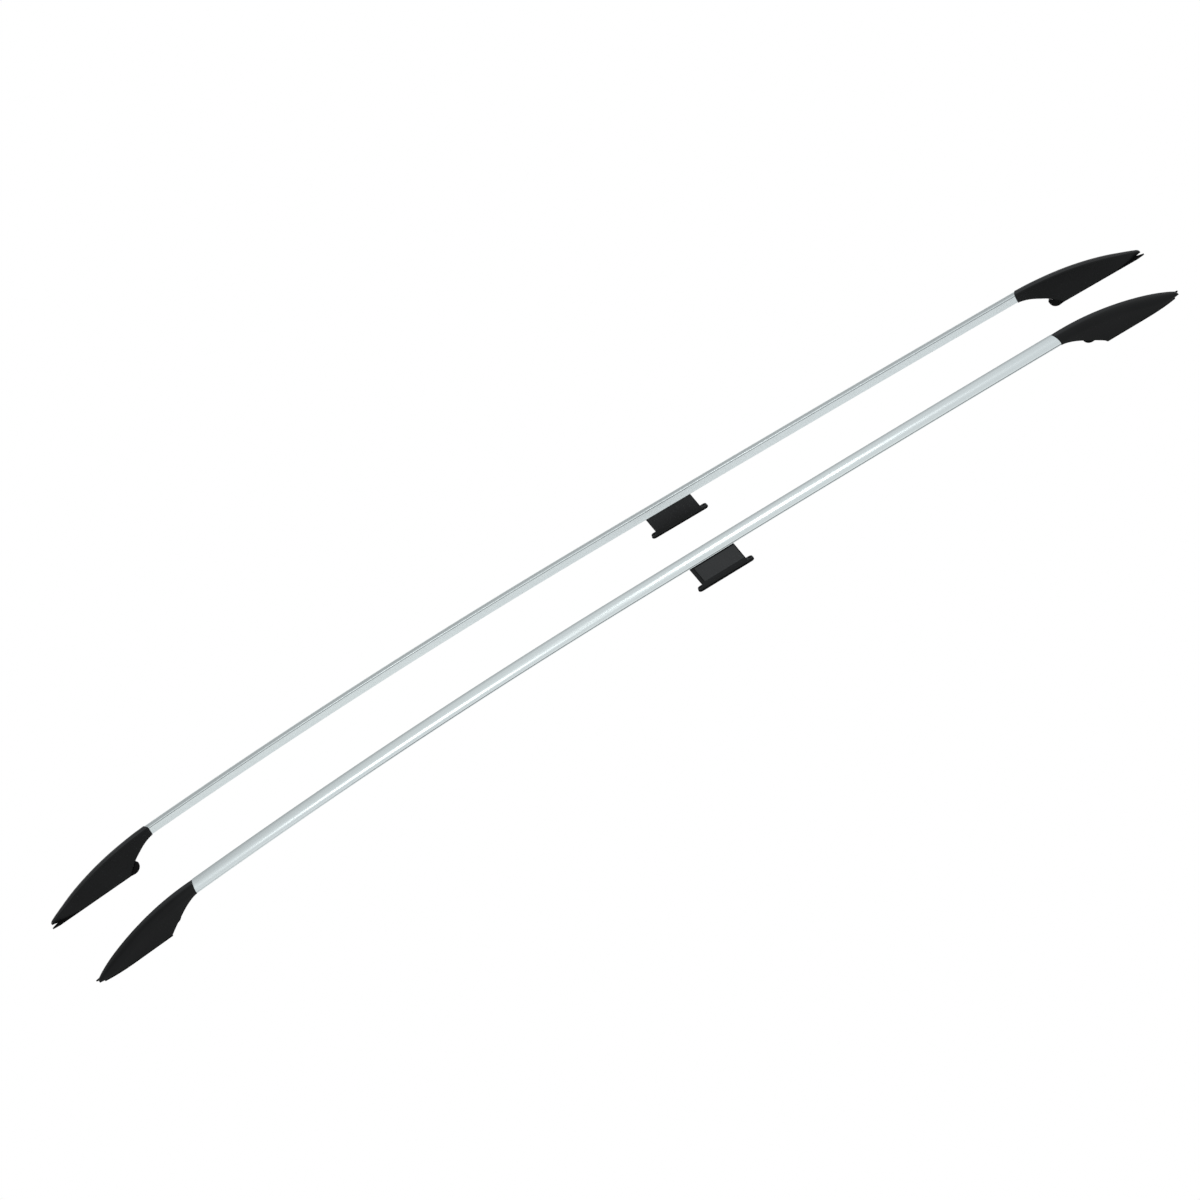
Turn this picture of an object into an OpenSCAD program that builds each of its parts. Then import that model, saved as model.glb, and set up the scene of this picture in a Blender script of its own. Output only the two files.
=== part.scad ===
// A pair of roof side rails for a long vehicle: bent hollow bars on three feet each.
// X runs along the rails with the front at +X, Y across the roof, Z up.
// The origin is under the middle of the pair, on the surface that it stands on.

/* [Pair] */
// Distance between the two rails at the middle of their length
pair_gap = 248; // [160:1:1200]
// Angle that each rail turns inwards towards the front
toe = 0.8; // [0:0.1:3]

/* [Bar] */
// Length of bar between the two end caps
bar_len = 1914; // [1200:2:2600]
// Radius of the bend behind the middle
bend_rear = 12000; // [8000:100:40000]
// Radius of the flatter bend ahead of the middle
bend_front = 65500; // [20000:500:90000]
// Width of the bar's section
bar_w = 26; // [24:0.5:34]
// Height of the bar's section
bar_h = 18; // [16:0.5:24]
// Wall of the hollow bar
bar_wall = 2.2; // [1.6:0.1:3]
// Width of the flat on top of the bar
flat_w = 9; // [6:0.5:12]
// Height of the lip under the outer face
lip_h = 4; // [2.5:0.5:6]
// How far the lip stands back from the outer face
lip_set = 1.2; // [0.5:0.1:2]
// Width and depth of the fine groove along the inner face
groove = 0.8; // [0.4:0.1:1.2]

/* [End feet] */
// Height of the bar's top above the roof
rail_h = 63; // [54:1:80]
// Length of an end cap from the bar to its tip
foot_len = 251; // [220:1:320]
// Length of the neck on the outer side
neck_out = 88; // [70:1:110]
// Length of the neck on the inner side
neck_in = 55; // [36:1:64]
// How fast the outer neck's edge curves down to the base
out_power = 1.55; // [1.3:0.05:2.2]
// How fast the inner neck's edge curves down to the hook
in_power = 1.75; // [1.3:0.05:2.2]
// Height of the rubber hook at the end of the inner neck
hook_h = 22; // [16:1:30]
// How far the hook reaches towards the bar
hook_reach = 3.5; // [1:0.5:6]
// Length of the slanted edge of the inner wall behind the hook
slant_len = 21; // [14:1:26]
// Thickness of the hook across the foot
hook_w = 4.5; // [3:0.5:8]
// Radius under the hook's front
heel_r = 16; // [6:0.5:18]
// Height of the cap at its tip
tip_h = 7; // [5:0.5:9]
// How fast the cap's back curves down to its tip
back_power = 2.15; // [1.6:0.05:3]
// Distance from the bar's middle to the base's outer edge
base_out = 12; // [8:0.5:18]
// Distance from the bar's middle to the base's inner edge
base_in = 19; // [14:0.5:26]
// Wall of the end cap
cap_wall = 2.2; // [1.6:0.1:2.8]
// How far the joint with the bar slants back from the inner side to the outer side
joint_slant = 8; // [0:0.5:12]
// How far the bracket's neck shows below the cap's inner wall
neck_show = 2.5; // [0:0.5:4]

/* [Brackets] */
// Length of the tongue inside the bar
tongue_len = 60; // [50:1:90]
// Thickness of the bracket's upright web
web = 6; // [5:0.5:8]
// Thickness of the bracket's arm in the neck
arm_t = 4; // [3:0.5:6]
// Thickness of the bracket's sole
sole = 4; // [3:0.5:6]
// Radius of the round window in the web
window_r = 9; // [5:0.5:11]
// Outer radius of a bolt boss
boss_r = 8; // [7:0.5:9]
// Height of a bolt boss above the roof
boss_h = 20; // [14:1:24]
// Distance from the joint to the first bolt
bolt_first = 96; // [90:1:110]
// Distance between the two bolts of an end foot
bolt_pitch = 70; // [50:1:90]
// Outer radius of a threaded insert
insert_r = 4.5; // [4:0.1:5]
// Radius of the bore before its thread is cut
thread_r = 2.5; // [2:0.1:3]
// Length of a threaded insert
insert_len = 14; // [10:1:16]

/* [Middle support] */
// Distance of the support ahead of the middle of the bar
support_at = 192; // [0:1:400]
// Length of the support under the bar
support_len = 97; // [80:1:140]
// Width of the support under the bar
support_w = 20; // [16:0.5:22]
// Width of the support's narrow foot
support_base = 12; // [10:0.5:18]
// How far the middle of the foot lies outside the middle of the bar
base_shift = 8; // [0:0.5:10]
// Wall of the support
support_wall = 3; // [2.4:0.1:4]
// How far the support's foot stands ahead of its top, for each unit of height
support_lean = 0.19; // [0:0.01:0.3]
// Height of the plain upright strip below the cover plate
strip_h = 12; // [8:0.5:18]
// How far a screw ear reaches out past each end of the foot
end_out = 11.5; // [9:0.5:16]
// Thickness of an ear
ear_t = 3; // [2.5:0.5:5]
// How far the support reaches below the line of the two end feet
support_drop = 7.5; // [0:0.5:10]
// Radius of the hole in an ear
ear_hole_r = 2.75; // [2.2:0.05:3.3]
// How far the cover plate stands off the support
cover_proud = 1.4; // [0.6:0.1:2]
// Thickness of the cover plate
cover_t = 2.4; // [1.8:0.1:3]

/* [Gaskets and screws] */
// Thickness of a rubber gasket
gasket_t = 3; // [1.5:0.1:4]
// How far an end foot's gasket stands back from its edge, and the support's stands out
pad_set = 0.8; // [0.3:0.1:1.5]
// Length of the gasket's prong beside the tip of an end foot
prong_len = 12; // [8:1:16]
// How far the prong runs on past the tip
prong_out = 3; // [0:0.5:8]
// Radius of a screw that holds a bracket to the bar
screw_r = 2; // [1.5:0.1:2.5]
// Length of such a screw under its head
screw_len = 9; // [7:0.5:11]
// Distance from the bar's end to its first screw
screw_first = 16; // [12:1:20]
// Distance between the two screws of a tongue
screw_pitch = 26; // [20:1:30]

/* [Clearances] */
// Gap around the tongue inside the bar
tongue_fit = 0.3; // [0.1:0.05:0.5]
// Gap between the bar's end and the cap
joint_gap = 0.4; // [0.2:0.1:1]
// Gap between the bracket and the inside of the cap
cap_fit = 0.5; // [0.3:0.1:1]
// Gap between the rubber hook and the cap's inner wall
hook_fit = 0.5; // [0.3:0.1:1]
// Gap around the cover plate in its recess
cover_gap = 0.6; // [0.3:0.1:1]
// Gap under a screw's head and between parts that seat on the bent bar
seat_gap = 0.25; // [0.2:0.05:0.4]
// Gap around a screw in its thread
thread_fit = 0.1; // [0.05:0.05:0.2]

/* [Hidden] */
$fn = 48;
bend_fn = 3600;
clear_h = rail_h - bar_h;
half_len = bar_len / 2;
head_r = 2 * screw_r;
head_t = 1.2 * screw_r;
crown_a = bar_w - flat_w;
crown_b = bar_h - lip_h;
corner_r = 3;
low_r = 1.2;
shoulder = 0.68;
tip_out = 0.5;
tip_in = -5.5;
tongue_root = cap_fit + 6;
base_z = gasket_t;
support_z = base_z - support_drop;
ear_x = support_len / 2 + end_out - support_base / 2;
hook_out = 2;
hook_lift = 0.4;
prong_w = 3;
cover_rear = 8;
cover_front = 2;
cover_low = support_z + strip_h + cover_gap;
cover_high = clear_h - 3;
support_top = clear_h - seat_gap;
bolts = [bolt_first, bolt_first + bolt_pitch];
screws = [screw_first, screw_first + screw_pitch];
silver = [0.80, 0.82, 0.83];
black = [0.11, 0.12, 0.13];
rubber = [0.07, 0.07, 0.07];
zinc = [0.62, 0.63, 0.62];
cast = [0.68, 0.69, 0.70];

// How far the bar turns from its middle to a distance s, in degrees
function turn_at(s) = s < 0 ? -s / bend_rear * 180 / PI : s / bend_front * 180 / PI;
// Place in the rail's own upright plane at distance s and height h over the roof line
function place_at(s, h) = let(
        r = s < 0 ? bend_rear : bend_front,
        w = turn_at(s),
        side = s < 0 ? -1 : 1
    ) [side * (r + h - clear_h) * sin(w), (r + h - clear_h) * cos(w) - r];
// Where the tip of an end foot lies, before the rail is levelled
function tip_at(side) = let(
        w = turn_at(side * half_len),
        p = place_at(side * half_len, 0)
    ) [p[0] + side * foot_len * cos(w), p[1] - foot_len * sin(w)];
rear_tip = tip_at(-1);
front_tip = tip_at(1);
level = atan2(front_tip[1] - rear_tip[1], front_tip[0] - rear_tip[0]);
level_x = (rear_tip[0] + front_tip[0]) / 2 * cos(level) + (rear_tip[1] + front_tip[1]) / 2 * sin(level);
level_z = rear_tip[1] * cos(level) - rear_tip[0] * sin(level);

// Points along a part of an ellipse in a section
function arc_pts(c, rx, ry, from, to, n) = [
    for (k = [0:n]) let(w = from + (to - from) * k / n) [c[0] + rx * cos(w), c[1] + ry * sin(w)]
];
// Outline of the bar: across towards the outer side, then up from its underside.
// A positive inset gives the outline of the hollow or of what fits in it.
function bar_outline(inset) = let(
        lip = inset > 0 ? 0 : lip_set,
        out = bar_w / 2 - (inset > 0 ? lip_set : 0) - inset,
        low = max(low_r - inset, 0.4),
        top = max(corner_r - inset, 0.6),
        g = bar_h - 2 * corner_r + 1.5
    ) concat(
        arc_pts([inset + low - bar_w / 2, inset + low], low, low, 180, 270, 3),
        arc_pts([out - lip - low, inset + low], low, low, 270, 360, 3),
        inset > 0 ? [] : [[out - lip, lip_h - lip_set]],
        arc_pts([bar_w / 2 - crown_a, lip_h], out - bar_w / 2 + crown_a, crown_b - inset, 0, 90, 12),
        arc_pts([inset + top - bar_w / 2, bar_h - inset - top], top, top, 90, 180, 4),
        inset > 0 ? [] : [[-bar_w / 2, g], [groove - bar_w / 2, g - groove / 2], [-bar_w / 2, g - groove]]
    );

// The bar's section swept along its two bends from the rear joint to the front one
module bent(inset, s0, s1) {
    pts = bar_outline(inset);
    translate([0, 0, -bend_rear]) rotate([90, 0, 0]) rotate([0, 0, 90])
        rotate_extrude(angle = turn_at(s0), $fn = bend_fn)
            polygon([for (c = pts) [bend_rear + c[1], c[0]]]);
    translate([0, 0, -bend_front]) rotate([90, 0, 0]) rotate([0, 0, 90])
        rotate_extrude(angle = -turn_at(s1), $fn = bend_fn)
            polygon([for (c = pts) [bend_front + c[1], c[0]]]);
}
// Stands its children on the roof line at distance s along the rail
module on_rail(s) {
    p = place_at(s, 0);
    translate([p[0], 0, p[1]]) rotate([0, (s < 0 ? -1 : 1) * turn_at(s), 0]) children();
}
// Frames of the two end feet: X runs from the joint to the tip
module rear_foot() { on_rail(-half_len) mirror([1, 0, 0]) children(); }
module front_foot() { on_rail(half_len) children(); }
// Puts one rail in its place in the pair, level on its two tips
module right_side() {
    translate([0, -pair_gap / 2, 0]) rotate([0, 0, toe])
        translate([-level_x, 0, -level_z]) rotate([0, level, 0]) children();
}
module left_side() { mirror([0, 1, 0]) right_side() children(); }

module rail_bar() {
    color(silver) difference() {
        bent(0, -half_len - joint_slant, half_len + joint_slant);
        bent(bar_wall, -half_len - joint_slant - 1, half_len + joint_slant + 1);
        rear_foot() joint_cut();
        front_foot() joint_cut();
        for (s = screws) {
            rear_foot() bar_screw_hole(-s);
            front_foot() bar_screw_hole(-s);
        }
        on_rail(support_at) for (x = support_screws()) translate([x, 0, clear_h - 1])
            cylinder(r = screw_r + thread_fit, h = bar_wall + 2);
    }
}
// Everything beyond the slanted joint, seen from the foot's frame
module joint_cut() {
    reach = 4 * bar_w;
    slant = joint_slant / bar_w;
    translate([-joint_gap, 0, clear_h - bar_h]) linear_extrude(3 * bar_h)
        polygon([for (p = [[-2, 0], [-2, 1], [2, 1], [2, 0]]) let(y = p[0] * bar_w)
            [slant * (bar_w / 2 - y) + p[1] * reach, y]]);
}
module bar_screw_hole(x) {
    translate([x, 0, clear_h - 1]) cylinder(r = screw_r + 2 * thread_fit, h = bar_wall + 2);
}

// Height of the cap's back at distance a from the joint
function back_z(a) = tip_h + (rail_h - tip_h) * (1 - pow(a / foot_len, back_power));
// Height of a side wall's lower edge: a neck that curves down, then the base
function edge_z(a, neck, drop, power) = a >= neck ? base_z
    : base_z + drop + (clear_h - base_z - drop) * (1 - pow(a / neck, power));
// The inner wall's edge: a neck, then a slant down to the base behind the rubber hook
function inner_edge(a) = a < neck_in ? edge_z(a, neck_in, hook_h - base_z, in_power)
    : base_z + (hook_h - base_z) * max(0, 1 - (a - neck_in) / slant_len);
// Share of the way from the shoulder to the tip, and how the plan closes over it
function closing(a) = a / foot_len < shoulder ? 0 : pow((a / foot_len - shoulder) / (1 - shoulder), 2.4);
// Share of the way from the bar's width to the base's width
function spread(a) = 1 - pow(1 - min(a / neck_out, 1), 2);
function out_edge(a) = let(w = bar_w / 2 - lip_set, b = w + (base_out - w) * spread(a))
    b + (tip_out - b) * closing(a);
function in_edge(a) = let(b = -bar_w / 2 - (base_in - bar_w / 2) * spread(a))
    b + (tip_in - b) * closing(a);
// Section of the cap at distance a, as a path from the outer edge over the back to the
// inner edge. A positive inset gives the path of the inside.
function cap_path(a, inset) = let(
        top = back_z(a),
        w_out = out_edge(a),
        w_in = in_edge(a),
        high = top - base_z,
        i = min(inset, 0.3 * high, 0.3 * (w_out - w_in)),
        full = bar_w / 2 + (w_out - bar_w / 2 + lip_set) * min(1, a / 20),
        belly = max(full, w_out + 1.5 * (1 - closing(a)) * min(1, a / 20)),
        rise = min(crown_b, 0.7 * high),
        run = min(crown_a, 0.62 * (belly - w_in)),
        bend = min(corner_r, 0.2 * high, 0.2 * (belly - w_in)),
        bend_in = bend - min(i, bend - 0.1),
        low_out = edge_z(a, neck_out, 0, out_power),
        low_in = inner_edge(a),
        inner_top = w_in + (-bar_w / 2 - w_in) * 0.6 * (1 - closing(a))
    ) concat(
        [[w_out - i, low_out]],
        arc_pts([belly - run, top - rise], run - i, rise - i, 0, 90, 8),
        arc_pts([inner_top + bend, top - bend], bend_in, bend_in, 90, 180, 3),
        [[w_in + i, low_in]]
    );
// Distances of the cap's sections from the joint, closest where its edges turn
stations = concat([0, 14, 28, 40], [for (k = [-1:3]) neck_in + slant_len * k / 3],
    [neck_out - 0.5, neck_out + 1],
    [for (k = [1:6]) neck_out + 1 + (0.8 * foot_len - neck_out - 1) * k / 6],
    [for (k = [1:6]) foot_len * (0.8 + 0.2 * (1 - pow(1 - k / 6, 1.6)))]);

// The moulded cap: a thin shell lofted through its sections, open below
module end_cap() {
    outer = [for (a = stations) cap_path(a, 0)];
    inner = [for (a = stations) cap_path(a, cap_wall)];
    n = len(outer[0]);
    m = 2 * n;
    last = len(stations) - 1;
    rings = [for (s = [0:last]) concat(outer[s], [for (k = [n - 1:-1:0]) inner[s][k]])];
    slide = [for (a = stations) max(0, 1 - a / neck_in) * joint_slant / bar_w];
    pts = [for (s = [0:last]) for (p = rings[s]) [stations[s] + slide[s] * (p[0] + bar_w / 2), -p[0], p[1]]];
    sides = [for (s = [0:last - 1]) for (k = [0:m - 1]) let(
            p = s * m + k, q = s * m + (k + 1) % m) each [[p, q, q + m], [p, q + m, p + m]]];
    ends = [for (k = [0:n - 2]) let(p = k, q = m - 1 - k, t = last * m) each [
            [p, q, q - 1], [p, q - 1, p + 1], [t + p, t + q - 1, t + q], [t + p, t + p + 1, t + q - 1]]];
    color(black) polyhedron(pts, concat(sides, ends));
}

// The cast bracket: a tongue in the bar, an upright web and a sole with two bosses
module bracket() {
    color(cast) difference() {
        union() {
            tongue();
            neck_arm();
            web_plate();
            sole_plate();
            for (x = bolts) translate([x, -boss_y(), base_z]) cylinder(r = boss_r, h = boss_h - base_z);
        }
        for (x = bolts) translate([x, -boss_y(), base_z - 1]) cylinder(r = insert_r, h = boss_h);
        for (s = screws) translate([-s, 0, clear_h]) cylinder(r = screw_r + thread_fit, h = screw_len + 1);
    }
}
// The bolts stand on the middle of the base, which lies inwards of the bar's middle
function boss_y() = (base_out - base_in) / 2;
module tongue() {
    translate([tongue_root, 0, clear_h]) rotate([90, 0, -90])
        linear_extrude(tongue_len + tongue_root) polygon(bar_outline(bar_wall + tongue_fit));
}
// The arm that fills the neck between the cap's two walls. Its underside shows as a thin
// line below the inner wall, most of all next to the hook.
module neck_arm() {
    gap = cap_wall + cap_fit;
    start = cap_fit + 1.5;
    end = neck_in - hook_reach - neck_show;
    run = [for (k = [0:8]) start + (end - start) * k / 8];
    under = [for (a = run) [a, inner_edge(a) - neck_show * sin(180 * pow(a / neck_in, 2))]];
    intersection() {
        translate([0, 0, base_z]) linear_extrude(clear_h)
            polygon(concat([for (a = run) [a, -in_edge(a) - gap]], [[end, 0], [start, 0]]));
        rotate([90, 0, 0]) linear_extrude(4 * bar_w, center = true)
            polygon(concat(under, [for (k = [8:-1:0]) under[k] + [0, arm_t]]));
    }
}
// Side view of the web: it follows the cap's back inside, and its neck shows a little
// below the inner wall before it slants back to the sole behind the outer neck
module web_plate() {
    under = cap_wall + cap_fit + 1;
    reach = bolts[1] + boss_r;
    back = [for (k = [0:8]) let(a = tongue_root + (reach - tongue_root) * k / 8) [a, back_z(a) - under]];
    neck = [for (k = [0:8]) let(a = (neck_in - 1) * (1 - k / 8)) [a, inner_edge(a) + 1]];
    translate([0, web / 2 - boss_y(), 0]) rotate([90, 0, 0]) linear_extrude(web) difference() {
        polygon(concat(back, [[reach, base_z], [neck_out - 6, base_z], [neck_in + 2, hook_h - 1]], neck));
        translate([bolt_first + bolt_pitch / 2, base_z + boss_h]) circle(r = window_r);
    }
}
module sole_plate() {
    translate([0, 0, base_z]) linear_extrude(sole)
        polygon(base_outline(neck_in + slant_len + 2, bolts[1] + 3 * boss_r, cap_wall + cap_fit));
}
// Plan of a plate under the cap. Its end towards the bar curves back from the inner edge
// to the outer one, so that the outer neck hides it from the side.
function base_outline(heel, toe_end, inset) = let(
        n = 10,
        start = neck_out + 1,
        inner = -in_edge(heel) - inset,
        outer = inset - out_edge(start)
    ) concat(
        [for (k = [0:n]) let(a = start + (toe_end - start) * k / n) [a, inset - out_edge(a)]],
        [for (k = [n:-1:0]) let(a = heel + (toe_end - heel) * k / n) [a, -in_edge(a) - inset]],
        [for (k = [1:5]) [heel + (start - heel) * sqrt(k / 6), inner + (outer - inner) * k / 6]]
    );
module inserts() {
    color(zinc) for (x = bolts) translate([x, -boss_y(), base_z]) difference() {
        cylinder(r = insert_r, h = insert_len);
        translate([0, 0, -1]) cylinder(r = thread_r, h = insert_len + 2);
    }
}
module bar_screws() {
    color(zinc) for (s = screws) translate([-s, 0, clear_h - seat_gap]) {
        translate([0, 0, -head_t]) cylinder(r = head_r, h = head_t);
        cylinder(r = screw_r, h = screw_len);
    }
}
// The rubber gasket: a pad under the whole base. Its inner edge runs straight on and ends
// in a prong beside the cap's tip, and it turns up in a hook that closes the neck.
module foot_gasket() {
    color(rubber) union() {
        gasket_pad();
        translate([0, base_in + hook_out, 0]) rotate([90, 0, 0]) linear_extrude(hook_w) polygon(hook_side());
    }
}
// Side view of the hook: its front curves up from the pad to the end of the inner neck
function hook_side() = let(
        front = neck_in - hook_reach,
        top = hook_h - hook_fit,
        heel = min(heel_r, 0.9 * (top - hook_lift))
    ) concat(
        [[neck_in + slant_len, gasket_t / 2]],
        arc_pts([front + heel, heel + hook_lift], heel, heel, 270, 180, 8),
        [[neck_in - hook_fit, top], [neck_in + slant_len - 2 * hook_fit, base_z]]
    );
module gasket_pad() {
    edge = base_in - pad_set;
    start = foot_len * shoulder;
    root = foot_len - prong_len;
    linear_extrude(gasket_t) difference() {
        union() {
            polygon(base_outline(neck_in + heel_r, root + 2, pad_set));
            polygon([[start, edge], [start, 0], [root - 2, 0], [root, prong_w - tip_in],
                [foot_len + prong_out, edge - prong_w], [root, edge]]);
        }
        for (x = bolts) translate([x, -boss_y()]) circle(r = insert_r);
    }
}
// Places of the two screws that hold the support to the bar
function support_screws() = [-support_len / 4, support_len / 4];
// How far the leaning support stands ahead of its top at height z
function lean_x(z) = support_lean * (support_top - z);
// The support's section at an inset: it narrows from the bar down to an upright foot
function support_section(inset) = let(
        h = support_w / 2 - inset,
        b = support_base / 2 - inset,
        top = support_top - inset,
        low = inset > 0 ? support_z - 1 : support_z
    ) [[h, top], [base_shift + b, support_z + strip_h], [base_shift + b, low],
        [base_shift - b, low], [base_shift - b, support_z + strip_h], [-h, top]];
// The support's leaning side view at an inset
function support_side(inset) = let(
        l = support_len / 2 - inset,
        top = support_top - inset,
        low = inset > 0 ? support_z - 1 : support_z
    ) [for (p = [[l, top], [l, low], [-l, low], [-l, top]]) [p[0] + lean_x(p[1]), p[1]]];
module support_block(inset) {
    l = support_len;
    intersection() {
        rotate([90, 0, 90]) linear_extrude(2 * l, center = true)
            polygon([for (p = support_section(inset)) [-p[0], p[1]]]);
        rotate([90, 0, 0]) linear_extrude(2 * l, center = true) polygon(support_side(inset));
    }
}
// Stands its children on the two ears, which mirror each other
module at_ears() {
    for (side = [0, 1]) translate([lean_x(support_z), -base_shift, support_z]) mirror([side, 0, 0])
        translate([ear_x, 0, 0]) children();
}
// Plan of the foot with its two round ears, set back by an inset
module foot_plan(inset) {
    r = support_base / 2 - inset;
    translate([lean_x(support_z), -base_shift]) {
        translate([-ear_x, -r]) square([2 * ear_x, 2 * r]);
        for (side = [-1, 1]) translate([side * ear_x, 0]) circle(r = r);
    }
}
module centre_support() {
    color(black) difference() {
        union() {
            support_block(0);
            translate([0, 0, support_z]) linear_extrude(ear_t) foot_plan(0);
        }
        support_block(support_wall);
        at_ears() translate([0, 0, -1]) cylinder(r = ear_hole_r, h = ear_t + 2);
        for (x = support_screws()) translate([x, 0, support_top - support_wall - 1])
            cylinder(r = screw_r + 2 * thread_fit, h = support_wall + 2);
        cover_plate(cover_t - cover_proud + cover_gap / 2, 1, cover_gap);
    }
}
// A plate on the support's sloping outer face, from a given depth to a given height
module cover_plate(depth, proud, grow) {
    slope = atan2(base_shift + (support_base - support_w) / 2, support_top - support_z - strip_h);
    low = cover_low - grow;
    high = cover_high + grow;
    x0 = -support_len / 2 + cover_rear - grow;
    x1 = support_len / 2 - cover_front + grow;
    translate([0, -support_w / 2, support_top]) rotate([-slope, 0, 0]) rotate([90, 0, 0])
        translate([0, 0, -depth]) linear_extrude(depth + proud)
            polygon([for (p = [[x0, low], [x1, low], [x1, high], [x0, high]])
                [p[0] + lean_x(p[1]), p[1] - support_top]]);
}
module centre_cover() {
    color([0.19, 0.20, 0.21]) cover_plate(cover_t - cover_proud, cover_proud, 0);
}
module centre_gasket() {
    color(rubber) difference() {
        translate([0, 0, support_z - gasket_t]) linear_extrude(gasket_t) foot_plan(-pad_set);
        at_ears() translate([0, 0, -gasket_t - 1]) cylinder(r = ear_hole_r + 1, h = gasket_t + 2);
    }
}
module centre_screws() {
    z = support_top - support_wall - seat_gap;
    color(zinc) for (x = support_screws()) translate([x, 0, z]) {
        translate([0, 0, -head_t]) cylinder(r = head_r, h = head_t);
        cylinder(r = screw_r, h = support_wall + bar_wall + 2);
    }
}

right_side() rail_bar();  // right_rail_bar
right_side() rear_foot() bracket();  // right_rear_bracket
right_side() front_foot() bracket();  // right_front_bracket
right_side() rear_foot() end_cap();  // right_rear_cap
right_side() front_foot() end_cap();  // right_front_cap
right_side() rear_foot() foot_gasket();  // right_rear_gasket
right_side() front_foot() foot_gasket();  // right_front_gasket
right_side() rear_foot() inserts();  // right_rear_inserts
right_side() front_foot() inserts();  // right_front_inserts
right_side() rear_foot() bar_screws();  // right_rear_bar_screws
right_side() front_foot() bar_screws();  // right_front_bar_screws
right_side() on_rail(support_at) centre_support();  // right_centre_support
right_side() on_rail(support_at) centre_cover();  // right_centre_cover
right_side() on_rail(support_at) centre_gasket();  // right_centre_gasket
right_side() on_rail(support_at) centre_screws();  // right_centre_screws
left_side() rail_bar();  // left_rail_bar
left_side() rear_foot() bracket();  // left_rear_bracket
left_side() front_foot() bracket();  // left_front_bracket
left_side() rear_foot() end_cap();  // left_rear_cap
left_side() front_foot() end_cap();  // left_front_cap
left_side() rear_foot() foot_gasket();  // left_rear_gasket
left_side() front_foot() foot_gasket();  // left_front_gasket
left_side() rear_foot() inserts();  // left_rear_inserts
left_side() front_foot() inserts();  // left_front_inserts
left_side() rear_foot() bar_screws();  // left_rear_bar_screws
left_side() front_foot() bar_screws();  // left_front_bar_screws
left_side() on_rail(support_at) centre_support();  // left_centre_support
left_side() on_rail(support_at) centre_cover();  // left_centre_cover
left_side() on_rail(support_at) centre_gasket();  // left_centre_gasket
left_side() on_rail(support_at) centre_screws();  // left_centre_screws
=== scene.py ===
# %% [markdown]
# A pair of roof side rails stands on the four tips of its end feet. Each rail is a bent
# hollow aluminium bar with a black moulded cap over the bracket at each end and a black
# support under it. CAD holds every solid, and this script gives the pieces their looks.

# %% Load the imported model
import math
import bmesh
import bpy
from mathutils import Matrix, Vector


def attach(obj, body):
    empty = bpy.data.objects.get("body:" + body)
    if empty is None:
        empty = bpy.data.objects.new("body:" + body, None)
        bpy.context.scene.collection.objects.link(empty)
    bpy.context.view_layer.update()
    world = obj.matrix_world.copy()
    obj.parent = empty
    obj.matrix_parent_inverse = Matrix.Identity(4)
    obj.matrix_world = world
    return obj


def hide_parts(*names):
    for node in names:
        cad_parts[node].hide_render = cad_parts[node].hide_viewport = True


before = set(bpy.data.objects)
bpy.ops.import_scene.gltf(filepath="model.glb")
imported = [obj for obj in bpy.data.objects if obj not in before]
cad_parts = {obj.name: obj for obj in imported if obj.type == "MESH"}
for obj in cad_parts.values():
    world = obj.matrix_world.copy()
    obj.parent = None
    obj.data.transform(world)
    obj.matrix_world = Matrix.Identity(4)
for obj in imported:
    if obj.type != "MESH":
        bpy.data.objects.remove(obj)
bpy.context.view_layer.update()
scene = bpy.context.scene
print("CAD nodes:", len(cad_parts))

# %% [markdown]
# The bends decide where everything sits, so the sizes of the model come first, in
# millimetres. Each rail is drawn in its own upright plane: x along the rail, y across it
# with the outer side at -y, and z up from the roof line. Matrices then lay it in place.
# The bar's skin has a narrower flat, a higher groove and other corner radii than the solid,
# which thins it in the picture and moves its surface by less than a millimetre.

# %% Sizes and places of the two rails
PAIR_GAP, TOE, BAR_LEN = 248, 0.8, 1914
BEND_REAR, BEND_FRONT = 12000, 65500
BAR_W, BAR_H, BAR_WALL, FLAT_W = 26, 18, 2.2, 4.5
LIP_H, LIP_SET, GROOVE, GROOVE_Z = 4, 1.2, 0.8, 16.4
LOW_R, TOP_R, HEEL_R = 1.2, 1.3, 3
RAIL_H, FOOT_LEN = 63, 251
CLEAR_H = RAIL_H - BAR_H
HALF = BAR_LEN / 2
MM = Matrix.Scale(0.001, 4)


def turn_at(s):
    return -s / BEND_REAR if s < 0 else s / BEND_FRONT


def place_at(s, h):
    r, side = (BEND_REAR, -1) if s < 0 else (BEND_FRONT, 1)
    reach = r + h - CLEAR_H
    return side * reach * math.sin(turn_at(s)), reach * math.cos(turn_at(s)) - r


def on_rail(s):
    x, z = place_at(s, 0)
    side = -1 if s < 0 else 1
    return Matrix.Translation((x, 0, z)) @ Matrix.Rotation(side * turn_at(s), 4, "Y")


def tip_at(side):
    w = turn_at(side * HALF)
    x, z = place_at(side * HALF, 0)
    return x + side * FOOT_LEN * math.cos(w), z - FOOT_LEN * math.sin(w)


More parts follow.
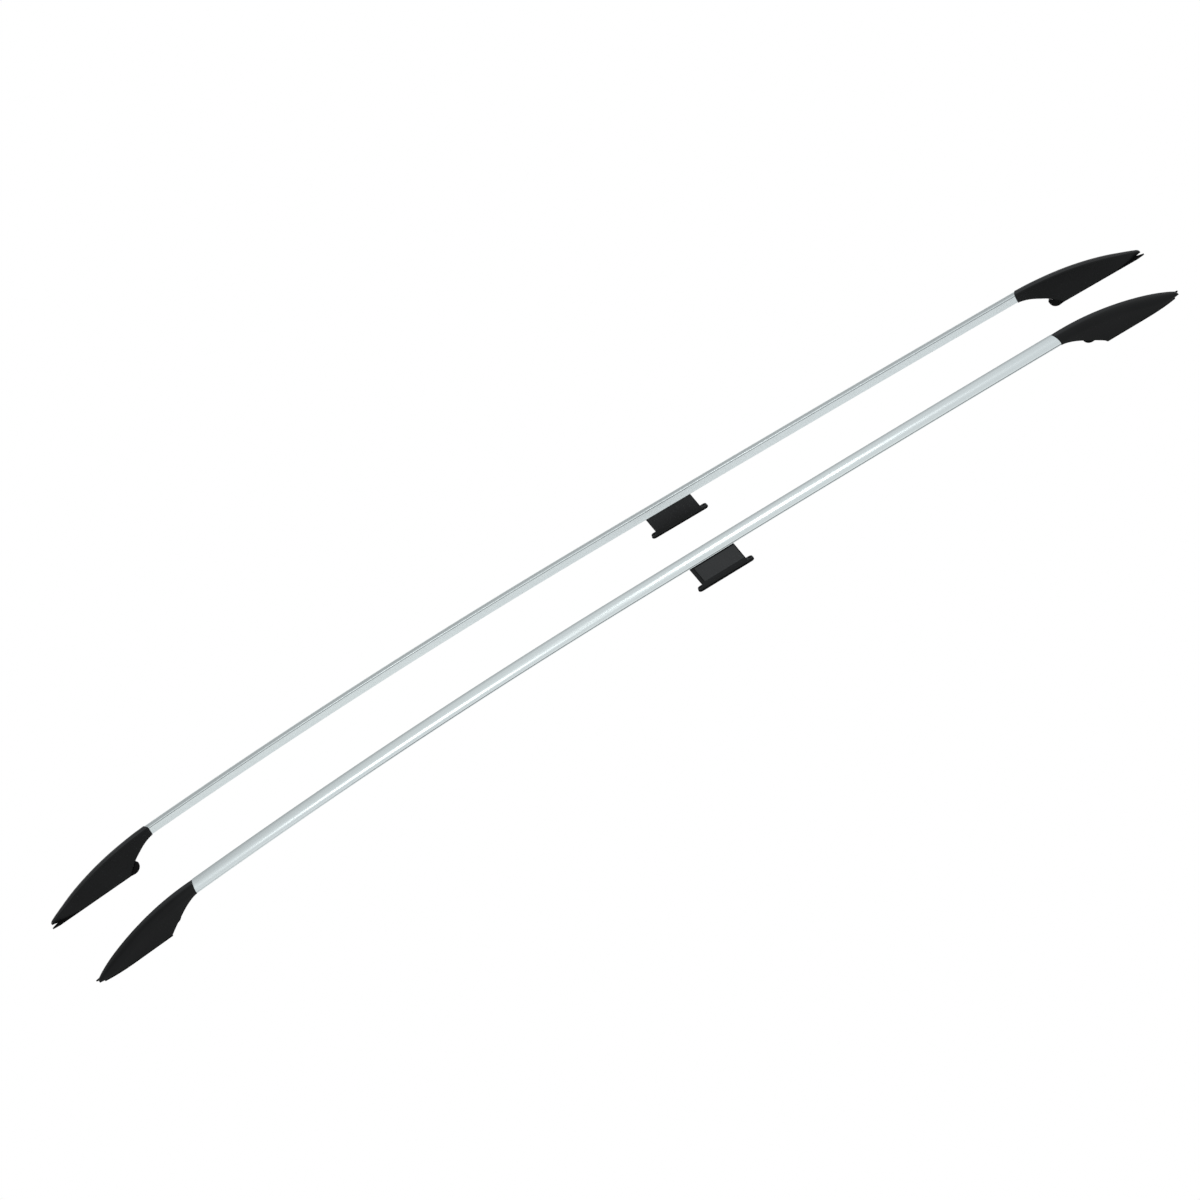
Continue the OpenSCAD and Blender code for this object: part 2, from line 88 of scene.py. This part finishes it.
rear_tip, front_tip = tip_at(-1), tip_at(1)
LEVEL = math.atan2(front_tip[1] - rear_tip[1], front_tip[0] - rear_tip[0])
between_tips = Vector(((rear_tip[0] + front_tip[0]) / 2, 0, (rear_tip[1] + front_tip[1]) / 2))
middle = Matrix.Rotation(LEVEL, 4, "Y") @ between_tips
FEET = {
    "rear": on_rail(-HALF) @ Matrix.Scale(-1, 4, (1, 0, 0)),
    "front": on_rail(HALF),
}
right_side = (
    MM
    @ Matrix.Translation((0, -PAIR_GAP / 2, 0))
    @ Matrix.Rotation(math.radians(TOE), 4, "Z")
    @ Matrix.Translation((-middle.x, 0, -middle.z))
    @ Matrix.Rotation(LEVEL, 4, "Y")
)
SIDES = {"right": right_side, "left": Matrix.Scale(-1, 4, (0, 1, 0)) @ right_side}
print("rail levelled by", round(math.degrees(LEVEL), 3), "degrees")

# %% [markdown]
# The photograph was taken with a very long lens from 30 degrees above, a little to the
# rear, with the picture turned so that the rails rise to the right. A long lens keeps
# lines that are parallel on the object parallel in the picture. PIXEL is the width of one
# pixel in metres, and the picture's middle lies some pixels from the middle of the pair.

# %% Camera
AZIMUTH, ELEVATION, ROLL = math.radians(6), math.radians(30), math.radians(29.13)
PIXEL = 0.001876
CENTRE_ACROSS, CENTRE_UP = -18.74, 13.73
PICTURE, SENSOR = 1200, 36
DISTANCE, SPARE = 90, 40
across = Vector((math.cos(AZIMUTH), -math.sin(AZIMUTH), 0))
forward = Vector((math.sin(AZIMUTH), math.cos(AZIMUTH), 0))
into = Vector((*(math.cos(ELEVATION) * forward.xy), -math.sin(ELEVATION)))
above = across.cross(into)
image_x = math.cos(ROLL) * across - math.sin(ROLL) * above
image_y = math.sin(ROLL) * across + math.cos(ROLL) * above
centre = CENTRE_ACROSS * PIXEL * image_x + CENTRE_UP * PIXEL * image_y
camera = bpy.data.objects.new("camera", bpy.data.cameras.new("camera"))
scene.collection.objects.link(camera)
camera.data.sensor_width = SENSOR
camera.data.lens = SENSOR * DISTANCE / (PICTURE * PIXEL)
camera.data.clip_start, camera.data.clip_end = DISTANCE - SPARE, DISTANCE + 1.5 * SPARE
camera.matrix_world = Matrix.Translation(centre - DISTANCE * into) @ Matrix(
    (image_x, image_y, -into)
).transposed().to_4x4()
scene.camera = camera
scene.view_settings.view_transform = "Standard"
print("lens", round(camera.data.lens), "mm")

# %% [markdown]
# A material is a small graph of nodes. Maths on its sockets reads best as Python, so one
# class wraps a socket and turns each operator into a Math node. Any other node comes from
# one method that takes its settings first and then its sockets.

# %% Shader maths
class Wire:
    def __init__(self, graph, socket):
        self.graph, self.socket = graph, socket

    def maths(self, operation, *others):
        values = dict(enumerate((self, *others)))
        return self.graph.node("Math", dict(operation=operation), values)

    def __add__(self, other):
        return self.maths("ADD", other)

    def __sub__(self, other):
        return self.maths("SUBTRACT", other)

    def __rsub__(self, other):
        return (self * -1) + other

    def __mul__(self, other):
        return self.maths("MULTIPLY", other)

    def __truediv__(self, other):
        return self.maths("DIVIDE", other)

    __radd__, __rmul__ = __add__, __mul__

    def step(self, low, high, to_low=0.0, to_high=1.0):
        sockets = {"Value": self, "From Min": low, "From Max": high, "To Min": to_low, "To Max": to_high}
        return self.graph.node("MapRange", dict(interpolation_type="SMOOTHSTEP"), sockets)


class Graph:
    def __init__(self, owner):
        owner.use_nodes = True
        self.tree = owner.node_tree
        self.tree.nodes.clear()

    def node(self, kind, settings=None, sockets=None, out=0):
        made = self.tree.nodes.new("ShaderNode" + kind)
        for name, value in (settings or {}).items():
            setattr(made, name, value)
        for name, value in (sockets or {}).items():
            if isinstance(value, Wire):
                self.tree.links.new(value.socket, made.inputs[name])
            else:
                made.inputs[name].default_value = value
        return made if out is None else Wire(self, made.outputs[out])

    def mix(self, factor, a, b):
        made = self.node("Mix", dict(data_type="RGBA"), {0: factor, 6: a, 7: b}, out=None)
        return Wire(self, made.outputs[2])

    def noise(self, where, scale, detail=2.0, rough=0.5, stretch=(1, 1, 1)):
        spot = self.node("Mapping", {}, {"Vector": where, "Scale": stretch})
        sockets = {"Vector": spot, "Scale": scale, "Detail": detail, "Roughness": rough}
        return self.node("TexNoise", {}, sockets)

    def surface(self, **sockets):
        names = {k.replace("_", " "): v for k, v in sockets.items()}
        shader = self.node("BsdfPrincipled", {}, names)
        self.node("OutputMaterial", {}, {"Surface": shader}, out=None)


def grey(value, tint=(1.0, 1.0, 1.0)):
    return (value * tint[0], value * tint[1], value * tint[2], 1)


def new_material(name):
    material = bpy.data.materials.new(name)
    return material, Graph(material)


print("shader helpers ready")

# %% [markdown]
# The bar is extruded aluminium that is bent, brushed along its length and anodised. The
# brush lines have to follow the bend, so the bar carries its own coordinates: distance
# along the rail, then across and up, as an attribute. Noise stretched along the first one
# gives lines that never leave the bar. The same coordinates paint shade into the colour:
# a painted shadow in the step over the lip, weaker towards the rear end, and painted shade
# in the fine groove.

# %% Anodised aluminium
anodised, g = new_material("anodised")
rail = g.node("Attribute", dict(attribute_name="along_rail"), out="Vector")
ways = g.node("SeparateXYZ", {}, {0: rail}, out=None)
along, across_bar, height = (Wire(g, ways.outputs[k]) * 1000 for k in "XYZ")
lines = g.noise(rail, 1.0, 3, 0.6, (2.5, 900, 900))
fine = g.noise(rail, 1.0, 2, 0.5, (14, 3000, 3000))
cloud = g.noise(rail, 1.0, 2, 0.5, (1.6, 24, 24))
tone = g.mix(lines.step(0.3, 0.7), grey(0.75, (0.93, 1, 1.01)), grey(0.79, (0.93, 1, 1.0)))
tone = g.mix(cloud.step(0.35, 0.65) * 0.35, tone, grey(0.70, (0.93, 1, 1.03)))
# painted shadow: a dark band on the outer side in the step over the lip, only a quarter as dark near the
# rear end
lip_band = height.step(1.6, 2.4) * (1 - height.step(3.6, 4.2))
painted_lip_shadow = across_bar.step(8, 10) * lip_band * along.step(-760, -420, 0.25, 1.0)
# painted shade: the fine groove on the inner face is darkened to stand for its shadow
inner_face = 1 - across_bar.step(-12.9, -12.0)
from_groove = (height - GROOVE_Z + GROOVE / 2).maths("ABSOLUTE")
painted_groove_shade = inner_face * (1 - from_groove.step(0.45, 0.65))
# the painted shadow of the lip step and the painted shade of the groove mix the base colour towards near
# black
shade = painted_lip_shadow * 0.9 + painted_groove_shade * 0.8
g.surface(
    Base_Color=g.mix(shade, tone, grey(0.03, (0.93, 1, 1.02))),
    Metallic=1.0,
    Roughness=0.2 + lines * 0.06 + cloud * 0.05,
    Normal=g.node("Bump", {}, {"Strength": 0.01, "Distance": 0.00002, "Height": fine}),
)
print("anodised", len(g.tree.nodes), "nodes")

# %% [markdown]
# The caps and the support are moulded nylon: nearly black, with a fine eroded grain that
# breaks up the gloss, and paler on its worn edges. Faces that look straight up are painted
# lighter, a painted highlight on its level tops.

# %% Moulded plastic
def plastic(name, level, tint, rough, grain, edge):
    material, g = new_material(name)
    spot = g.node("TexCoord", {}, {}, out=None)
    spot = Wire(g, spot.outputs["Object"])
    cells = g.noise(spot, 1500, 2, 0.6)
    broad = g.noise(spot, 14, 3, 0.55)
    shape = g.node("NewGeometry", {}, {}, out=None)
    worn = Wire(g, shape.outputs["Pointiness"]).step(0.51, 0.56)
    upward = Wire(g, g.node("SeparateXYZ", {}, {0: Wire(g, shape.outputs["Normal"])}, out=None).outputs["Z"])
    tone = g.mix(broad.step(0.3, 0.7), grey(level * 0.85, tint), grey(level * 1.15, tint))
    # painted highlight: faces that look straight up are mixed towards a lighter grey
    tone = g.mix(upward.step(0.93, 0.995) * 0.6, tone, grey(level * 0.5 + 0.025, tint))
    g.surface(
        Base_Color=g.mix(worn * edge, tone, grey(level * 0.5 + 0.06, tint)),
        Roughness=rough + broad * 0.1 - cells * 0.06,
        Specular_IOR_Level=0.16,
        Normal=g.node("Bump", {}, {"Strength": grain, "Distance": 0.0002, "Height": cells}),
    )
    return material


cap_black = plastic("cap_plastic", 0.0045, (0.92, 1.0, 1.06), 0.36, 0.12, 0.15)
cover_black = plastic("cover_plastic", 0.018, (0.95, 1.0, 1.03), 0.42, 0.15, 0.25)
print("plastics:", cap_black.name, cover_black.name)

# %% [markdown]
# The gaskets are black rubber with a dry, dull surface. The bracket inside each cap is die
# cast, so it has a soft cloudy skin, and the fasteners are zinc plated.

# %% Rubber, casting and zinc
rubber, g = new_material("gasket_rubber")
spot = Wire(g, g.node("TexCoord", {}, {}, out=None).outputs["Object"])
bloom = g.noise(spot, 60, 4, 0.6)
grit = g.noise(spot, 900, 2, 0.6)
g.surface(
    Base_Color=g.mix(bloom.step(0.35, 0.75), grey(0.002), grey(0.005, (1, 1, 1.05))),
    Roughness=0.62 + bloom * 0.2,
    Specular_IOR_Level=0.08,
    Normal=g.node("Bump", {}, {"Strength": 0.15, "Distance": 0.0002, "Height": grit}),
)


def plain_metal(name, level, tint, rough, scale, depth):
    material, g = new_material(name)
    spot = Wire(g, g.node("TexCoord", {}, {}, out=None).outputs["Object"])
    skin = g.noise(spot, scale, 4, 0.6)
    grit = g.noise(spot, scale * 6, 3, 0.6)
    g.surface(
        Base_Color=g.mix(skin.step(0.3, 0.7), grey(level * 0.88, tint), grey(level, tint)),
        Metallic=1.0,
        Roughness=rough + skin * 0.18,
        Normal=g.node("Bump", {}, {"Strength": depth, "Distance": 0.0003, "Height": grit}),
    )
    return material


cast = plain_metal("cast_metal", 0.66, (1, 1, 1.01), 0.42, 120, 0.25)
zinc = plain_metal("zinc_steel", 0.62, (1, 1.0, 0.97), 0.26, 200, 0.08)
print("metals:", cast.name, zinc.name)

# %% [markdown]
# A finished piece sits at the origin with its place in its mesh. One helper turns a bmesh
# into such a piece: it lays it in place, turns the faces back where a mirror turned them
# inside out, marks the sharp edges and hands it to the frame. Two more draw part of an
# ellipse and round a set of edges.

# %% From bmesh to finished piece
def finish_piece(name, bm, matrix, material, node, sharp=35):
    bm.transform(matrix)
    if matrix.determinant() < 0:
        bmesh.ops.reverse_faces(bm, faces=bm.faces)
    mesh = bpy.data.meshes.new(name)
    bm.to_mesh(mesh)
    bm.free()
    mesh.polygons.foreach_set("use_smooth", [True] * len(mesh.polygons))
    mesh.set_sharp_from_angle(angle=math.radians(sharp))
    mesh.materials.append(material)
    piece = bpy.data.objects.new(name, mesh)
    scene.collection.objects.link(piece)
    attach(piece, "root")
    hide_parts(node)
    return piece


def arc(centre, rx, ry, start, end, steps):
    turns = [math.radians(start + (end - start) * k / steps) for k in range(steps + 1)]
    return [(centre[0] + rx * math.cos(w), centre[1] + ry * math.sin(w)) for w in turns]


def bevel_edges(bm, edges, width):
    bmesh.ops.bevel(
        bm, geom=edges, offset=width, segments=2, profile=0.5,
        affect="EDGES", material=-1, clamp_overlap=True,
    )


print("piece helper ready")

# %% [markdown]
# The bar is one section carried round two bends. A spin does exactly that: the section is
# drawn as a closed wire at the middle of the rail, spun back about the centre of the tight
# rear bend and forward about the centre of the flat front one. The ends are then cut
# slanting, where the caps meet the bar, and bridged to a second spin for the hollow.

# %% The bar's section
SOFT = 0.15


def bar_section(inset):
    lip = 0 if inset else LIP_SET
    out = BAR_W / 2 - (LIP_SET if inset else 0) - inset
    low, top, heel = max(LOW_R - inset, 0.4), max(TOP_R - inset, 0.6), max(HEEL_R - inset, 0.6)
    crown_w, crown_h = BAR_W - FLAT_W, BAR_H - LIP_H
    points = arc((inset + heel - BAR_W / 2, inset + heel), heel, heel, 180, 270, 6)
    points += arc((out - lip - low, inset + low), low, low, 270, 360, 4)
    if not inset:
        points += [(out - lip, LIP_H - LIP_SET - 0.3), (out - lip + 0.2, LIP_H - LIP_SET + 0.2)]
    points += arc((BAR_W / 2 - crown_w, LIP_H), out - BAR_W / 2 + crown_w, crown_h - inset, 0, 90, 28)
    points += arc((inset + top - BAR_W / 2, BAR_H - inset - top), top, top, 90, 180, 8)
    if not inset:
        points += [
            (-BAR_W / 2, GROOVE_Z + SOFT),
            (-BAR_W / 2 + SOFT, GROOVE_Z),
            (GROOVE - BAR_W / 2, GROOVE_Z - GROOVE / 2),
            (-BAR_W / 2 + SOFT, GROOVE_Z - GROOVE),
            (-BAR_W / 2, GROOVE_Z - GROOVE - SOFT),
        ]
    return points


print("section has", len(bar_section(0)), "points")

# %% Spin the bar
JOINT_SLANT, JOINT_GAP = 8, 0.4


def spin_section(bm, inset):
    ring = [bm.verts.new((0, -p, h)) for p, h in bar_section(inset)]
    wire = [bm.edges.new((a, b)) for a, b in zip(ring, ring[1:] + ring[:1])]
    for side, radius, steps in ((-1, BEND_REAR, 56), (1, BEND_FRONT, 28)):
        angle = side * (HALF + JOINT_SLANT) / radius
        bmesh.ops.spin(
            bm, geom=ring + wire, cent=(0, 0, -radius), axis=(0, 1, 0), angle=angle,
            steps=steps, use_merge=False, use_normal_flip=False, use_duplicate=False,
        )


def cut_ends(bm):
    for end, foot in FEET.items():
        normal = Vector((1, JOINT_SLANT / BAR_W, 0))
        point = Vector((-JOINT_GAP, BAR_W / 2, CLEAR_H))
        normal = (foot.inverted().transposed().to_3x3() @ normal).normalized()
        bmesh.ops.bisect_plane(
            bm, geom=bm.verts[:] + bm.edges[:] + bm.faces[:], dist=1e-5,
            plane_co=foot @ point, plane_no=normal, clear_outer=True,
        )


def rail_attribute(bm):
    layer = bm.verts.layers.float_vector.new("along_rail")
    for v in bm.verts:
        radius = BEND_REAR if v.co.x < 0 else BEND_FRONT
        up = v.co.z + radius
        run = radius * math.atan2(v.co.x, up)
        v[layer] = Vector((run, -v.co.y, math.hypot(v.co.x, up) - radius)) * 0.001


for side, lay in SIDES.items():
    bm = bmesh.new()
    spin_section(bm, 0)
    cut_ends(bm)
    inner = bmesh.new()
    spin_section(inner, BAR_WALL)
    cut_ends(inner)
    hollow = bpy.data.meshes.new("hollow")
    inner.to_mesh(hollow)
    inner.free()
    bm.from_mesh(hollow)
    bpy.data.meshes.remove(hollow)
    rims = [e for e in bm.edges if e.is_boundary]
    for x_side in (-1, 1):
        bmesh.ops.bridge_loops(bm, edges=[e for e in rims if e.verts[0].co.x * x_side > 0])
    bmesh.ops.recalc_face_normals(bm, faces=bm.faces)
    rail_attribute(bm)
    node = side + "_rail_bar"
    piece = finish_piece(side + "_bar_skin", bm, lay, anodised, node, sharp=28)
    print(piece.name, len(piece.data.polygons), "faces")

# %% [markdown]
# Each cap is a thin moulded shell that starts as wide as the bar and a little fuller, swells
# down into the base of the foot and closes to a low nose. It is shaped from a flat sheet: a grid
# whose one way runs from the joint to the tip and whose other way runs from the outer
# edge over the back to the inner edge. A second sheet set in by the wall makes the inside,
# and the rims of the two are bridged and rounded.

# %% Shape of the cap
NECK_OUT, NECK_IN, OUT_POWER, IN_POWER = 88, 55, 1.55, 1.75
HOOK_H, SLANT_LEN, BASE_OUT, BASE_IN = 22, 21, 12, 19
TIP_H, BASE_Z, CAP_WALL = 7, 3, 2.2
TIP_OUT, TIP_IN, SHOULDER = 0.5, -5.5, 0.68
BACK_POWER, CLOSE_POWER = 2.15, 2.4
EDGE_R, NOSE, BELLY, BLEND = 3, 5, 1.5, 20
RISE_SHARE, RUN_SHARE, BEND_SHARE, WALL_SHARE, LEAN_SHARE = 0.7, 0.62, 0.2, 0.3, 0.6
AROUND = (12, 22, 5, 7, 14)


def back_z(a):
    low = TIP_H + (RAIL_H - TIP_H) * (1 - (min(a, FOOT_LEN) / FOOT_LEN) ** BACK_POWER)
    left = FOOT_LEN - a
    return low if left > NOSE else BASE_Z + (low - BASE_Z) * math.sqrt(max(0, 1 - (1 - left / NOSE) ** 2))


def edge_z(a, neck, drop, power):
    low = BASE_Z + drop
    return BASE_Z if a >= neck else low + (CLEAR_H - low) * (1 - (a / neck) ** power)


def inner_edge(a):
    if a < NECK_IN:
        return edge_z(a, NECK_IN, HOOK_H - BASE_Z, IN_POWER)
    return BASE_Z + (HOOK_H - BASE_Z) * max(0, 1 - (a - NECK_IN) / SLANT_LEN)


def closing(a):
    return 0 if a / FOOT_LEN < SHOULDER else ((a / FOOT_LEN - SHOULDER) / (1 - SHOULDER)) ** CLOSE_POWER


def out_edge(a):
    spread = 1 - (1 - min(a / NECK_OUT, 1)) ** 2
    wide = BAR_W / 2 - LIP_SET + (BASE_OUT - BAR_W / 2 + LIP_SET) * spread
    return wide + (TIP_OUT - wide) * closing(a)


def in_edge(a):
    spread = 1 - (1 - min(a / NECK_OUT, 1)) ** 2
    wide = -BAR_W / 2 - (BASE_IN - BAR_W / 2) * spread
    return wide + (TIP_IN - wide) * closing(a)


def cap_path(a, inset):
    top, w_out, w_in = back_z(a), out_edge(a), in_edge(a)
    high = max(top - BASE_Z, 0.02)
    i = min(inset, WALL_SHARE * high, WALL_SHARE * (w_out - w_in))
    near = min(1, a / BLEND)
    full = BAR_W / 2 + (w_out - BAR_W / 2 + LIP_SET) * near
    belly = max(full, w_out + BELLY * (1 - closing(a)) * near)
    rise = min(BAR_H - LIP_H, RISE_SHARE * high)
    run = min(BAR_W - FLAT_W, RUN_SHARE * (belly - w_in))
    bend = min(EDGE_R, BEND_SHARE * high, BEND_SHARE * (belly - w_in))
    inner_top = w_in + (-BAR_W / 2 - w_in) * LEAN_SHARE * (1 - closing(a))
    foot_out = (w_out - i, edge_z(a, NECK_OUT, 0, OUT_POWER))
    wall_out = (belly - i, top - rise)
    crown = arc((belly - run, top - rise), run - i, rise - i, 0, 90, AROUND[1])
    corner_r = bend - min(i, bend - 0.1)
    corner = arc((inner_top + bend, top - bend), corner_r, corner_r, 90, 180, AROUND[3])
    foot_in = (w_in + i, inner_edge(a))

    def between(p, q, n):
        return [(p[0] + (q[0] - p[0]) * k / n, p[1] + (q[1] - p[1]) * k / n) for k in range(n)]

    path = between(foot_out, wall_out, AROUND[0]) + crown[:-1]
    path += between(crown[-1], corner[0], AROUND[2]) + corner[:-1]
    return path + between(corner[-1], foot_in, AROUND[4]) + [foot_in]


stations = [NECK_IN * k / 22 for k in range(22)]
stations += [NECK_IN + (NECK_OUT - NECK_IN) * k / 12 for k in range(12)]
stations += [NECK_OUT + (FOOT_LEN - NOSE - NECK_OUT) * k / 36 for k in range(36)]
stations += [FOOT_LEN - NOSE * math.cos(math.radians(90 * k / 8)) for k in range(9)]
print(len(stations), "sections of", len(cap_path(100, 0)), "points")

# %% Make the four caps
def cap_sheet(inset):
    bm = bmesh.new()
    count = sum(AROUND)
    rows = len(stations) - 1
    bmesh.ops.create_grid(bm, x_segments=rows, y_segments=count, size=0.5)
    for v in bm.verts:
        k, t = round((v.co.x + 0.5) * rows), round((v.co.y + 0.5) * count)
        a = stations[k]
        p, z = cap_path(a, inset)[t]
        slide = max(0, 1 - a / NECK_IN) * JOINT_SLANT / BAR_W * (p + BAR_W / 2)
        v.co = (a + slide, -p, z)
    return bm


def cap_shell():
    bm = cap_sheet(0)
    inside = cap_sheet(CAP_WALL)
    lining = bpy.data.meshes.new("lining")
    inside.to_mesh(lining)
    inside.free()
    bm.from_mesh(lining)
    bpy.data.meshes.remove(lining)
    rim = [e for e in bm.edges if e.is_boundary]
    bmesh.ops.bridge_loops(bm, edges=rim)
    bmesh.ops.remove_doubles(bm, verts=bm.verts, dist=0.02)
    bmesh.ops.recalc_face_normals(bm, faces=bm.faces)
    rim = [e for e in rim if e.is_valid and len(e.link_faces) == 2 and e.calc_face_angle(0) > 0.9]
    bevel_edges(bm, rim, 0.5)
    return bm


for side, lay in SIDES.items():
    for end, foot in FEET.items():
        node = f"{side}_{end}_cap"
        name, place = node + "_shell", lay @ foot
        piece = finish_piece(name, cap_shell(), place, cap_black, node, sharp=40)
        print(piece.name, len(piece.data.polygons), "faces")

# %% [markdown]
# The remaining pieces have the right form in CAD but knife-sharp edges, and real edges
# always catch a thin line of light. Each gets a copy of its CAD mesh that is merged,
# freed of the lines across its flats and bevelled along every sharp edge.

# %% Round the edges of the CAD pieces
def rounded_copy(node, material, width):
    bm = bmesh.new()
    bm.from_mesh(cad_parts[node].data)
    bm.transform(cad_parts[node].matrix_world)
    bmesh.ops.remove_doubles(bm, verts=bm.verts, dist=1e-6)
    bmesh.ops.dissolve_limit(
        bm, angle_limit=math.radians(1), use_dissolve_boundaries=False,
        verts=bm.verts, edges=bm.edges, delimit=set(),
    )
    sharp = [e for e in bm.edges if len(e.link_faces) == 2 and e.calc_face_angle(0) > math.radians(32)]
    bevel_edges(bm, sharp, width)
    return finish_piece(node + "_rounded", bm, Matrix(), material, node)


PLAIN = (
    ("bracket", cast, "cast_metal", 0.0008),
    ("gasket", rubber, "gasket_rubber", 0.0006),
    ("inserts", zinc, "zinc_steel", 0.0003),
    ("screws", zinc, "zinc_steel", 0.0003),
    ("centre_support", cap_black, "cap_plastic", 0.0006),
    ("centre_cover", cover_black, "cover_plastic", 0.0004),
)
for node in sorted(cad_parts):
    for word, material, slot, width in PLAIN:
        if word in node:
            piece = rounded_copy(node, material, width)
            print(piece.name, len(piece.data.polygons), "faces")

# %% [markdown]
# The pair floats on white in the photograph. The floor is a pale sheet that looks white to
# the camera, and everything else is lit by a soft studio: a pale room that is darker behind
# the rear half, which the flat tops of the bars mirror as a grey strip, and two lamps above
# that draw the long soft lights along the bars.

# %% Floor, room and lamps
bm = bmesh.new()
bmesh.ops.create_grid(bm, x_segments=1, y_segments=1, size=60)
bm.transform(Matrix.Translation((0, 0, -0.0015)))
floor_mesh = bpy.data.meshes.new("floor")
bm.to_mesh(floor_mesh)
bm.free()
floor = bpy.data.objects.new("floor", floor_mesh)
scene.collection.objects.link(floor)
floor_white, g = new_material("floor_white")
path = g.node("LightPath", {}, {}, out=None)
matt = g.node("BsdfDiffuse", {}, {"Color": grey(0.8)})
glow = g.node("Emission", {}, {"Color": grey(1.0), "Strength": 0.25})
matt = g.node("AddShader", {}, {0: matt, 1: glow})
white = g.node("Emission", {}, {"Color": grey(1.0), "Strength": 1.0})
seen = Wire(g, path.outputs["Is Camera Ray"])
g.node("OutputMaterial", {}, {"Surface": g.node("MixShader", {}, {0: seen, 1: matt, 2: white})}, out=None)
floor_mesh.materials.append(floor_white)

ROOM_LIGHT, ROOM_SHADE = 0.86, 0.38
world = bpy.data.worlds.new("studio")
scene.world = world
g = Graph(world)
path = g.node("LightPath", {}, {}, out=None)
spot = g.node("TexCoord", {}, {}, out=None)
ways = g.node("SeparateXYZ", {}, {0: Wire(g, spot.outputs["Generated"])}, out=None)
along, back = Wire(g, ways.outputs["X"]), Wire(g, ways.outputs["Y"])
low_back = (back - along.step(-0.08, 0.06) * 0.85).step(-0.2, 0.1)
level = ROOM_LIGHT - low_back * ROOM_SHADE
room = g.node("Background", {}, {"Color": grey(1.0, (0.98, 1.0, 1.01)), "Strength": level})
backdrop = g.node("Background", {}, {"Color": grey(1.0), "Strength": 1.0})
seen = Wire(g, path.outputs["Is Camera Ray"])
g.node("OutputWorld", {}, {"Surface": g.node("MixShader", {}, {0: seen, 1: room, 2: backdrop})}, out=None)


def lamp(name, place, aim, size, power):
    light = bpy.data.lights.new(name, "AREA")
    light.shape, light.size, light.size_y = "ELLIPSE", *size
    light.energy = power
    holder = bpy.data.objects.new(name, light)
    holder.location = place
    holder.rotation_euler = (Vector(aim) - Vector(place)).to_track_quat("-Z", "Y").to_euler()
    scene.collection.objects.link(holder)


lamp("front_lamp", (-0.27, -1.35, 2.0), (-0.27, 0, 0), (0.5, 1.2), 3.4)
lamp("top_lamp", (0.62, -0.35, 2.2), (0.58, 0, 0), (0.32, 1.2), 3.0)
print("studio ready")
